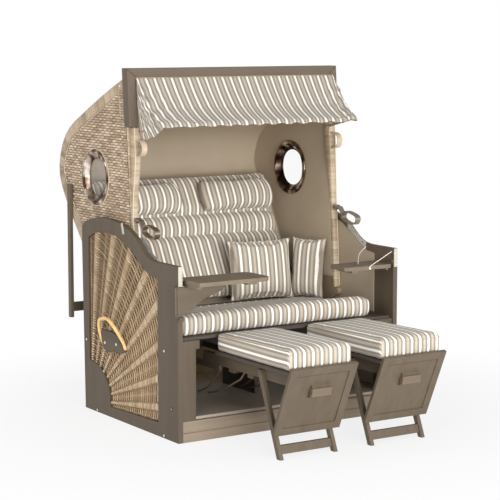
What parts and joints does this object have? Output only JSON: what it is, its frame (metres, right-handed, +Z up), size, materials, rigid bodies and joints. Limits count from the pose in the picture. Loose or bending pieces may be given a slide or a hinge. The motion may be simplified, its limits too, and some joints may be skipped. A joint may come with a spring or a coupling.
{
  "type": "hooded beach chair",
  "caption": "Two-seat beach chair with a reclining wicker hood, striped cushions, awning, pull-out footrests and fold-up side tables.",
  "frame": {"origin": "on the ground at the middle of the bounding box", "axes": "+Z up, the seats face -Y, +X to the right of a viewer who looks at the seats from the front"},
  "size_m": [1.2488, 1.754, 1.6],
  "materials": {
    "side_wood": "oiled dark taupe hardwood, satin",
    "front_wood": "oiled mid taupe hardwood, satin",
    "lining_board": "plain taupe laminated board, matt",
    "dark_board": "dark stained board, matt",
    "wicker": "woven round plastic strand, natural cane colours",
    "wicker_trim": "woven plastic strand, lighter cane colour",
    "stripe_cloth": "woven outdoor cloth with white, taupe and beige stripes",
    "cane": "varnished cane",
    "zinc_steel": "zinc plated",
    "chrome": "polished",
    "aluminium": "satin",
    "pale_glass": "clear",
    "white_cord": "braided, off-white"
  },
  "bodies": {
    "base": {"side_frame_left": "side_wood", "side_frame_right": "side_wood", "sun_wicker_left": "wicker", "sun_wicker_right": "wicker", "side_lining_left": "lining_board", "side_lining_right": "lining_board", "carry_handle_left": "cane", "carry_handle_right": "cane", "front_stile_left": "front_wood", "front_stile_right": "front_wood", "latch_strip_left": "aluminium", "latch_strip_right": "aluminium", "corner_cap_left": "aluminium", "corner_cap_right": "aluminium", "plinth": "front_wood", "floor_board": "dark_board", "seat_board": "dark_board", "centre_divider": "dark_board", "seat_frame": "dark_board", "rear_panel": "wicker", "seat_cushion": "stripe_cloth", "throw_pillow_left": "stripe_cloth", "throw_pillow_right": "stripe_cloth", "table_cord_front": "white_cord", "table_cord_rear": "white_cord"},
    "hood": {"hood_side_left": "wicker", "hood_side_right": "wicker", "hood_lining_left": "lining_board", "hood_lining_right": "lining_board", "porthole_ring_left": "chrome", "porthole_ring_right": "chrome", "porthole_glass_left": "pale_glass", "porthole_glass_right": "pale_glass", "edge_stile_left": "wicker_trim", "edge_stile_right": "wicker_trim", "hood_roof": "wicker", "hood_lining_back": "lining_board", "hood_front_frame": "front_wood", "back_panel": "lining_board", "back_cushion": "stripe_cloth", "headrest_left": "stripe_cloth", "headrest_right": "stripe_cloth", "awning_cloth": "stripe_cloth"},
    "rear_support": {"rear_frame": "front_wood"},
    "awning_hinge": {"awning_bow": "zinc_steel"},
    "lever_hinge_left": {"recline_lever_left": "zinc_steel"},
    "lever_hinge_right": {"recline_lever_right": "zinc_steel"},
    "footrest_slide_left": {"footrest_flap_left": "front_wood", "footrest_deck_left": "dark_board", "footrest_frame_left": "side_wood", "footrest_cushion_left": "stripe_cloth"},
    "leg_hinge_left": {"leg_frame_left": "side_wood"},
    "table_hinge_left": {"side_table_left": "front_wood"},
    "footrest_slide_right": {"footrest_flap_right": "front_wood", "footrest_deck_right": "dark_board", "footrest_frame_right": "side_wood", "footrest_cushion_right": "stripe_cloth"},
    "leg_hinge_right": {"leg_frame_right": "side_wood"},
    "table_hinge_right": {"side_table_right": "front_wood"},
    "bracket_hinge": {"gusset_bracket": "front_wood"}
  },
  "joints": [
    {"name": "hood_recline", "type": "hinge", "parent": "base", "child": "hood", "pos_m": [0, 0.134, 0.52], "axis": [-1, 0, 0], "range_deg": [0, 32]},
    {"name": "rear_frame_swing", "type": "hinge", "parent": "hood", "child": "rear_support", "pos_m": [0, 0.75, 0.942], "axis": [1, 0, 0], "range_deg": [0, 32]},
    {"name": "awning_fold", "type": "hinge", "parent": "hood", "child": "awning_hinge", "pos_m": [0, 0.175, 1.312], "axis": [-1, 0, 0], "range_deg": [0, 60], "deforming": ["awning_cloth"]},
    {"name": "lever_left", "type": "hinge", "parent": "hood", "child": "lever_hinge_left", "pos_m": [-0.5445, 0.1365, 0.926], "axis": [-1, 0, 0], "range_deg": [0, 45]},
    {"name": "footrest_slide_left", "type": "slide", "parent": "base", "child": "footrest_slide_left", "axis": [0, 1, 0], "range_m": [0, 0.38], "deforming": ["footrest_cushion_left"]},
    {"name": "leg_fold_left", "type": "hinge", "parent": "footrest_slide_left", "child": "leg_hinge_left", "pos_m": [-0.2345, -0.604, 0.343], "axis": [1, 0, 0], "range_deg": [0, 80]},
    {"name": "lever_right", "type": "hinge", "parent": "hood", "child": "lever_hinge_right", "pos_m": [0.5445, 0.1365, 0.926], "axis": [-1, 0, 0], "range_deg": [0, 45]},
    {"name": "footrest_slide_right", "type": "slide", "parent": "base", "child": "footrest_slide_right", "axis": [0, 1, 0], "range_m": [0, 0.38], "deforming": ["footrest_cushion_right"]},
    {"name": "leg_fold_right", "type": "hinge", "parent": "footrest_slide_right", "child": "leg_hinge_right", "pos_m": [0.2345, -0.604, 0.343], "axis": [1, 0, 0], "range_deg": [0, 80]},
    {"name": "table_fold_left", "type": "hinge", "parent": "base", "child": "table_hinge_left", "pos_m": [-0.56, -0.251, 0.711], "axis": [0, -1, 0], "range_deg": [0, 90]},
    {"name": "table_fold_right", "type": "hinge", "parent": "base", "child": "table_hinge_right", "pos_m": [0.56, -0.251, 0.711], "axis": [0, 1, 0], "range_deg": [0, 90], "deforming": ["table_cord_front", "table_cord_rear"]},
    {"name": "bracket_swing", "type": "hinge", "parent": "base", "child": "bracket_hinge", "pos_m": [-0.604, -0.296, 0.62], "axis": [0, 0, -1], "range_deg": [0, 170]}
  ],
  "couplings": [
    {"joint": "rear_frame_swing", "follows": "hood_recline", "ratio": 1}
  ]
}
